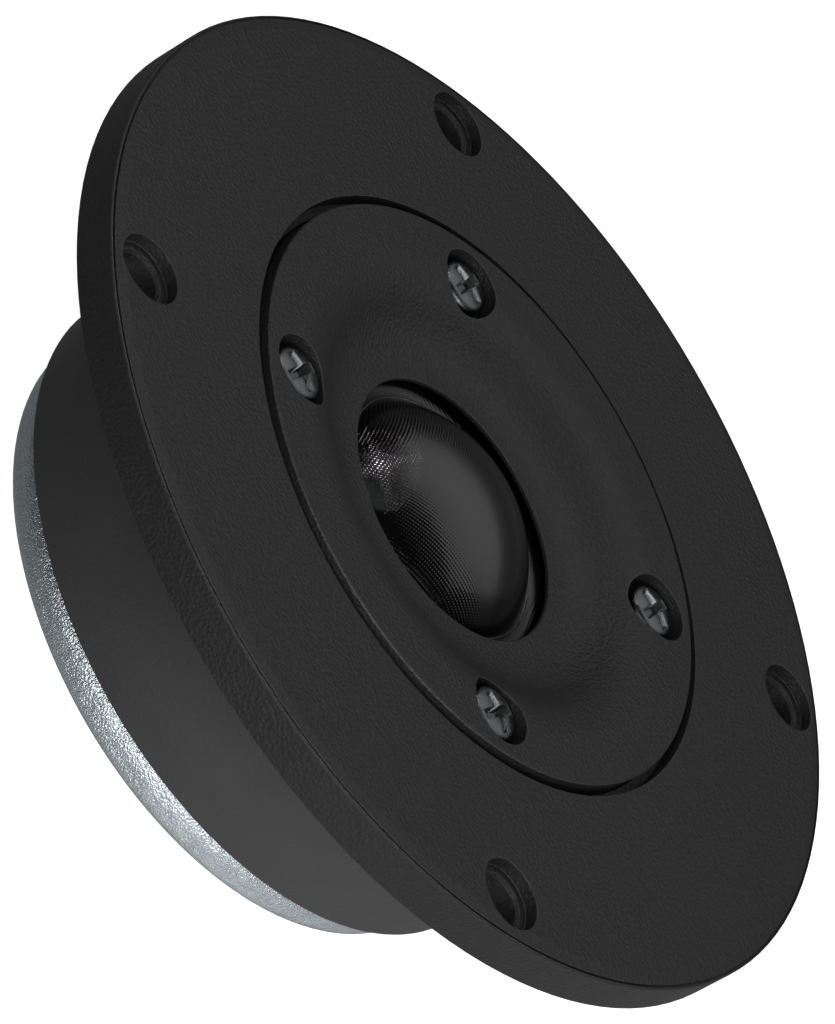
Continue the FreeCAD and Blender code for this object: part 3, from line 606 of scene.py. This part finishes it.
def sharp_edges(bm, degrees=40):
    """Edges where the surface turns by more than this."""
    limit = math.radians(degrees)
    return [edge for edge in bm.edges if len(edge.link_faces) == 2 and edge.calc_face_angle() > limit]


def round_edges(bm, edges, size, segments):
    """Round edges by size millimetres."""
    bmesh.ops.bevel(
        bm,
        geom=edges,
        offset=size * MM,
        offset_type="OFFSET",
        segments=segments,
        profile=0.5,
        affect="EDGES",
        clamp_overlap=True,
        material=-1,
    )


# %% [markdown]
# ## The dome
# The dome is silk, pressed into a cap and sealed with a tacky black coating. The cloth keeps its square
# weave, so in plan the threads run straight across. The coating fills
# the gaps but leaves every crossing as a small shiny hump. Two crossed sines, 0.4 mm long, make that
# field of humps, a power sharpens them, and noise pulls the threads slightly out of line.

# %% The dome's weave
THREADS = 0.40
THREAD_TURN = math.radians(24)


def weave(paint, pitch, stray):
    """Humps of a plain weave seen from above, from 0 to 1."""
    sockets = {"Vector": place(paint), "Scale": 420, "Detail": 2.0}
    drift = paint.node("ShaderNodeTexNoise", {}, sockets, "Color")
    pulled = paint.node(
        "ShaderNodeVectorMath",
        {"operation": "MULTIPLY_ADD"},
        {0: drift, 1: (stray * MM, stray * MM, 0), 2: place(paint)},
    )
    turned = paint.node("ShaderNodeMapping", {}, {"Vector": pulled, "Rotation": (0, 0, THREAD_TURN)})
    waves = math.tau * 1000 / pitch
    across = paint.node("ShaderNodeSeparateXYZ", {}, {"Vector": turned}, "X") * waves
    along = paint.node("ShaderNodeSeparateXYZ", {}, {"Vector": turned}, "Y") * waves
    return across.maths("SINE", across) * along.maths("SINE", along) * 0.5 + 0.5


def coated_cloth():
    paint = Paint("coated_cloth", {"Specular IOR Level": 0.6})
    humps = weave(paint, THREADS, 0.14)
    humps = humps.maths("POWER", humps, 2.5)
    slub = noise(paint, 0.5, 3)
    mottle = humps * 0.5 + slub * 0.5
    shade = blend_colour(paint, mottle, (0.0015, 0.0015, 0.0016, 1), (0.006, 0.006, 0.0063, 1))
    paint.feed(paint.shader, "Base Color", shade)
    paint.feed(paint.shader, "Roughness", slub * 0.03 + 0.04)
    paint.feed(paint.shader, "Normal", bump(paint, humps + slub * 0.4, 0.028))
    return paint.material


dome_cloth = coated_cloth()

# %% [markdown]
# The cap is part of a sphere. One vertex at the top is spun about the sphere's centre to draw the arc,
# and the arc is spun about the axis. The foot is a short straight band that the coil's former is glued
# into. The cloth is thin, so the shell is given its wall at the end.

# %% The dome
FOOT = 0.15
DOME_WALL = 0.22
dome_low, dome_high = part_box("dome")
dome_radius = dome_high.x / MM
foot_top = dome_low.z / MM + FOOT
dome_top = dome_high.z / MM
cap_rise = dome_top - foot_top
sphere = (dome_radius**2 + cap_rise**2) / (2 * cap_rise)
half_angle = math.asin(dome_radius / sphere)
print("dome:", round(dome_radius, 2), "mm radius on a sphere of", round(sphere, 2), "mm")


def make_dome():
    bm = bmesh.new()
    top = bm.verts.new((0, 0, dome_top * MM))
    bmesh.ops.spin(
        bm, geom=[top], cent=(0, 0, (dome_top - sphere) * MM), axis=(0, 1, 0), angle=half_angle, steps=40
    )
    spin_section(bm)
    rim = [edge for edge in bm.edges if edge.is_boundary]
    foot = bmesh.ops.extrude_edge_only(bm, edges=rim)["geom"]
    low = [item for item in foot if isinstance(item, bmesh.types.BMVert)]
    bmesh.ops.translate(bm, vec=(0, 0, -FOOT * MM), verts=low)
    bmesh.ops.recalc_face_normals(bm, faces=bm.faces)
    bmesh.ops.solidify(bm, geom=bm.faces[:], thickness=DOME_WALL * MM)
    return finish_piece(bm, "fabric_dome", dome_cloth, "diaphragm", "dome")


dome = make_dome()
print("dome measures", tuple(round(x / MM, 2) for x in dome.dimensions), "mm")

# %% [markdown]
# ## The surround
# The surround is the same cloth without the shiny coat, pressed into a half roll. It lets the dome move
# and seals the gap. Its inner edge moves with the dome and its outer edge is clamped. For each point
# a share between the two bodies is reckoned by its radius, but it is not kept.

# %% The surround's cloth
def roll_cloth():
    paint = Paint("roll_cloth", {"Specular IOR Level": 0.5})
    humps = weave(paint, THREADS * 1.15, 0.16)
    fuzz = noise(paint, 0.2, 4)
    mottle = humps * 0.6 + fuzz * 0.4
    shade = blend_colour(paint, mottle, (0.0015, 0.0015, 0.0016, 1), (0.006, 0.006, 0.0064, 1))
    paint.feed(paint.shader, "Base Color", shade)
    paint.feed(paint.shader, "Roughness", fuzz * 0.20 + 0.06)
    paint.feed(paint.shader, "Normal", bump(paint, humps + fuzz * 0.8, 0.035))
    return paint.material


# %% The surround
surround_low, surround_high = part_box("surround")
roll_in, roll_out, rim_out = 13.0, 15.5, surround_high.x / MM
rim_plane = surround_low.z / MM
crest = 0.45
roll_arc = ((roll_out - roll_in) ** 2 / 4 + crest**2) / (2 * crest)
roll_half = math.asin((roll_out - roll_in) / 2 / roll_arc)
roll_middle = (roll_in + roll_out) / 2
wall = 0.15


def make_surround():
    bm = bmesh.new()
    start = bm.verts.new((roll_in * MM, 0, (rim_plane + wall) * MM))
    centre = (roll_middle * MM, 0, (rim_plane + wall + crest - roll_arc) * MM)
    arc = bmesh.ops.spin(bm, geom=[start], cent=centre, axis=(0, 1, 0), angle=2 * roll_half, steps=20)
    end = arc["geom_last"][0]
    rim = bm.verts.new((rim_out * MM, 0, (rim_plane + wall) * MM))
    bm.edges.new((end, rim))
    spin_section(bm)
    if sum(face.normal.z for face in bm.faces) < 0:
        bmesh.ops.reverse_faces(bm, faces=bm.faces)
    bmesh.ops.solidify(bm, geom=bm.faces[:], thickness=wall * MM)
    return finish_piece(bm, "fabric_surround", roll_cloth(), None, "surround")


def share_motion(piece, near, far):
    """Bake the piece's transform and reckon, by radius in millimetres, a share between near and far; it is
    not kept.
    """
    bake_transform(piece)
    for vertex in piece.data.vertices:
        reach = math.hypot(vertex.co.x, vertex.co.y) / MM
        share = min(max((far - reach) / (far - near), 0), 1)
        share * share * (3 - 2 * share)


surround = make_surround()
share_motion(surround, roll_in, roll_out)
print("surround roll:", roll_in, "to", roll_out, "mm, crest", crest, "mm")

# %% [markdown]
# ## The glue line
# Where the dome sits on the surround there is a thin bead of clear glue. It is the fine bright line that
# rings the dome.

# %% The glue line
def glue():
    paint = Paint("clear_glue", {"Specular IOR Level": 0.7})
    beads = noise(paint, 0.8, 3)
    shade = blend_colour(paint, beads, (0.012, 0.012, 0.012, 1), (0.05, 0.05, 0.048, 1))
    paint.feed(paint.shader, "Base Color", shade)
    paint.feed(paint.shader, "Roughness", beads * 0.25 + 0.12)
    paint.feed(paint.shader, "Normal", bump(paint, beads, 0.03, 0.6))
    return paint.material


def make_glue_line():
    bm = bmesh.new()
    first = bm.verts.new(((dome_radius + 0.12) * MM, 0, (foot_top + 0.04) * MM))
    bmesh.ops.spin(
        bm,
        geom=[first],
        cent=((dome_radius + 0.01) * MM, 0, (foot_top + 0.04) * MM),
        axis=(0, 1, 0),
        angle=math.tau,
        steps=10,
        use_merge=True,
    )
    spin_section(bm)
    return finish_piece(bm, "dome_glue_line", glue(), "diaphragm")


make_glue_line()

# %% [markdown]
# ## Felt and foam
# A felt pad on the pole and a plug in the pole's bore swallow the sound from the dome's back. Felt is a
# mat of short curly fibres with soft corners. The foam ring under the waveguide plate clamps the
# surround without hurting it, and shows open cells.

# %% Felt and foam finishes
def felt():
    paint = Paint("felt", {"Specular IOR Level": 0.2, "Sheen Weight": 0.4, "Sheen Roughness": 0.5})
    curls = noise(paint, 0.35, 6)
    sockets = {"Vector": place(paint), "Scale": 900, "Distortion": 22.0, "Detail": 4.0, "Detail Scale": 2.0}
    strands = paint.node("ShaderNodeTexWave", {"bands_direction": "DIAGONAL"}, sockets, "Fac")
    shade = blend_colour(paint, strands * 0.5 + curls * 0.5, (0.05, 0.05, 0.052, 1), (0.26, 0.26, 0.27, 1))
    paint.feed(paint.shader, "Base Color", shade)
    paint.feed(paint.shader, "Roughness", curls * 0.1 + 0.88)
    paint.feed(paint.shader, "Normal", bump(paint, strands + curls, 0.09, 0.9))
    return paint.material


def foam():
    paint = Paint("foam", {"Specular IOR Level": 0.2})
    holes = cells(paint, 0.3)
    froth = noise(paint, 0.15, 3)
    shade = blend_colour(paint, holes, (0.004, 0.004, 0.004, 1), (0.03, 0.03, 0.03, 1))
    paint.feed(paint.shader, "Base Color", shade)
    paint.feed(paint.shader, "Roughness", froth * 0.1 + 0.85)
    paint.feed(paint.shader, "Normal", bump(paint, holes + froth * 0.4, 0.08, 1.0))
    return paint.material


# %% Felt pads and foam ring
def make_pad(name, node, material, corner, bore=0.0):
    """A padded disc or ring in its CAD node's box, with softly rounded corners."""
    low, high = (corner_point / MM for corner_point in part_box(node))
    bm = bmesh.new()
    sides = [(high.x, low.z), (high.x, high.z)]
    if bore:
        draw_section(bm, [(bore, low.z), *sides, (bore, high.z)])
    else:
        draw_section(bm, [(0, low.z), *sides, (0, high.z)], closed=False)
    spin_section(bm)
    round_edges(bm, sharp_edges(bm), corner, 4)
    pad = finish_piece(bm, name, material, "frame", node)
    return pad


felt_finish = felt()
make_pad("pole_felt", "damping_felt", felt_finish, 0.5)
make_pad("bore_felt", "chamber_felt", felt_finish, 0.6)
gasket_bore = min(math.hypot(v.co.x, v.co.y) for v in nodes["clamp_gasket"].data.vertices) / MM
make_pad("foam_gasket", "clamp_gasket", foam(), 0.1, gasket_bore)

# %% [markdown]
# ## Coil leads
# Two fine wires carry the current from the moving coil to the tabs. Each follows a smooth curve under
# the surround, through its slot and up to the solder. A real lead moves with the coil at one end and
# stays still at the other; as for the surround, a share by radius is reckoned here but not kept.

# %% Leads
LEAD_ROUTE = [
    (3.2, 12.6, 25.3),
    (3.2, 16.2, 25.3),
    (3.65, 19.65, 25.3),
    (4.1, 21.15, 26.25),
    (5.0, 23.55, 26.25),
]
LEAD_MOVES, LEAD_STILL = 13.0, 17.0
WIRE_RADIUS = 0.15


def lead_wire():
    paint = Paint("lead_copper", {"Metallic": 1.0})
    streaks = noise(paint, 0.12, 3)
    shade = blend_colour(paint, streaks, (0.34, 0.13, 0.06, 1), (0.72, 0.33, 0.17, 1))
    paint.feed(paint.shader, "Base Color", shade)
    paint.feed(paint.shader, "Roughness", streaks * 0.2 + 0.22)
    paint.feed(paint.shader, "Normal", bump(paint, streaks, 0.01, 0.5))
    return paint.material


def make_lead(name, node, side, material):
    curve = bpy.data.curves.new(name, "CURVE")
    curve.dimensions = "3D"
    curve.bevel_depth = WIRE_RADIUS * MM
    curve.bevel_resolution = 4
    curve.use_fill_caps = True
    spline = curve.splines.new("NURBS")
    spline.points.add(len(LEAD_ROUTE) - 1)
    for point, (x, y, z) in zip(spline.points, LEAD_ROUTE):
        point.co = (x * side * MM, y * MM, z * MM, 1)
    spline.order_u = 3
    spline.use_endpoint_u = True
    spline.resolution_u = 10
    drawn = bpy.data.objects.new(name, curve)
    mesh = bpy.data.meshes.new_from_object(drawn)
    bpy.data.objects.remove(drawn)
    bm = bmesh.new()
    bm.from_mesh(mesh)
    bpy.data.meshes.remove(mesh)
    bmesh.ops.remove_doubles(bm, verts=bm.verts, dist=MM / 1000)
    bmesh.ops.recalc_face_normals(bm, faces=bm.faces)
    lead = finish_piece(bm, name, material, None, node)
    share_motion(lead, LEAD_MOVES, LEAD_STILL)


copper_wire = lead_wire()
make_lead("positive_lead_wire", "positive_lead", 1, copper_wire)
make_lead("negative_lead_wire", "negative_lead", -1, copper_wire)

# %% [markdown]
# ## Front screws
# The four screws are blackened steel with pan heads whose tops are slightly domed. A cross recess is
# wide at the top and narrows towards the bottom. It starts as a grid of nine squares: without its four
# corner squares it is a cross. The cross is pushed down and shrunk to make the tapered walls, the flat
# ring round it is bridged to the head's edge, and the top is then lowered towards that edge.

# %% Blackened steel
def black_oxide():
    paint = Paint("blackened_steel", {"Metallic": 1.0})
    normal, edge = rounded(paint, 0.08)
    patches = noise(paint, 0.8, 3)
    scratches = noise(paint, 0.1, 4)
    shade = blend_colour(paint, patches, (0.08, 0.082, 0.086, 1), (0.14, 0.142, 0.147, 1))
    # Painted highlight: the edges are painted a pale grey.
    paint.feed(paint.shader, "Base Color", blend_colour(paint, edge, shade, (0.40, 0.40, 0.41, 1)))
    paint.feed(paint.shader, "Roughness", scratches * 0.12 + patches * 0.10 + 0.14)
    paint.feed(paint.shader, "Normal", bump(paint, scratches + patches, 0.04, 0.8, normal))
    return paint.material


# %% Front screws
screw_low, screw_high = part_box("front_screws")
HEAD_RADIUS, HEAD_HEIGHT, CROWN = 2.9, 2.3, 0.35
CROSS_ARM, CROSS_SPAN, CROSS_DEPTH = 1.05, 4.3, 1.5
SHANK_RADIUS, POINT_RADIUS, POINT_LENGTH = 1.5, 1.2, 0.3
DISC_MARGIN = 0.55
TURNS = ((1, 1, -2), (1, -1, -11), (-1, 1, 2), (-1, -1, -4))
head_top = screw_high.z / MM
head_seat = head_top - HEAD_HEIGHT
screw_tip = screw_low.z / MM
screw_reach = screw_high.x / MM - HEAD_RADIUS
print("screw heads:", round(head_seat, 2), "to", round(head_top, 2), "mm, reach", round(screw_reach, 3))


def cut_cross(bm, top, arm, span, depth):
    """A tapered cross recess in the plane at top, in millimetres. Returns its upper outline."""
    bmesh.ops.create_grid(bm, x_segments=3, y_segments=3, size=1.5)
    for vertex in bm.verts:
        for axis in (0, 1):
            reach = span / 2 if abs(vertex.co[axis]) > 1 else arm / 2
            vertex.co[axis] = math.copysign(reach * MM, vertex.co[axis])
        vertex.co.z = top * MM
    corners = [
        face for face in bm.faces if all(abs(c) > arm / 2 * MM for c in face.calc_center_median()[:2])
    ]
    bmesh.ops.delete(bm, geom=corners, context="FACES")
    outline = [edge for edge in bm.edges if edge.is_boundary]
    sunk = bmesh.ops.extrude_face_region(bm, geom=bm.faces[:])["geom"]
    floor_points = [item for item in sunk if isinstance(item, bmesh.types.BMVert)]
    walls_only = [face for face in bm.faces if all(v not in floor_points for v in face.verts)]
    bmesh.ops.delete(bm, geom=walls_only, context="FACES_ONLY")
    bmesh.ops.translate(bm, vec=(0, 0, -depth * MM), verts=floor_points)
    bmesh.ops.scale(bm, vec=(0.55, 0.55, 1), verts=floor_points)
    return [edge for edge in outline if edge.is_valid]


def make_screws():
    bm = bmesh.new()
    outline = cut_cross(bm, head_top, CROSS_ARM, CROSS_SPAN, CROSS_DEPTH)
    disc = bmesh.ops.create_circle(
        bm,
        segments=48,
        radius=(HEAD_RADIUS - DISC_MARGIN) * MM,
        matrix=Matrix.Translation((0, 0, head_top * MM)),
    )["verts"]
    rim = [edge for edge in bm.edges if edge.verts[0] in disc and edge.verts[1] in disc]
    bmesh.ops.bridge_loops(bm, edges=outline + rim)
    for vertex in bm.verts:
        if vertex.co.z > (head_top - 0.1) * MM:
            vertex.co.z -= CROWN * MM * vertex.co.xy.length_squared / disc[0].co.xy.length_squared
    for reach, height in (
        (HEAD_RADIUS - 0.18, head_top - 0.55),
        (HEAD_RADIUS, head_top - 0.90),
        (HEAD_RADIUS, head_seat),
        (SHANK_RADIUS, head_seat),
        (SHANK_RADIUS, screw_tip + POINT_LENGTH),
        (POINT_RADIUS, screw_tip),
    ):
        edge_loop = [edge for edge in bm.edges if edge.is_boundary]
        made = bmesh.ops.extrude_edge_only(bm, edges=edge_loop)["geom"]
        ring = [item for item in made if isinstance(item, bmesh.types.BMVert)]
        now = math.hypot(ring[0].co.x, ring[0].co.y)
        bmesh.ops.scale(bm, vec=(reach * MM / now, reach * MM / now, 1), verts=ring)
        bmesh.ops.translate(bm, vec=(0, 0, height * MM - ring[0].co.z), verts=ring)
    bmesh.ops.holes_fill(bm, edges=[edge for edge in bm.edges if edge.is_boundary], sides=0)
    bmesh.ops.recalc_face_normals(bm, faces=bm.faces)
    round_edges(bm, sharp_edges(bm, 35), 0.05, 2)
    one = bm.copy()
    bm.clear()
    for x, y, turn in TURNS:
        copy = bpy.data.meshes.new("screw")
        one.to_mesh(copy)
        spot = Matrix.Translation((x * screw_reach * MM, y * screw_reach * MM, 0))
        copy.transform(spot @ Matrix.Rotation(math.radians(turn), 4, "Z"))
        bm.from_mesh(copy)
        bpy.data.meshes.remove(copy)
    one.free()
    return finish_piece(bm, "front_screw_set", black_oxide(), "frame", "front_screws")


make_screws()
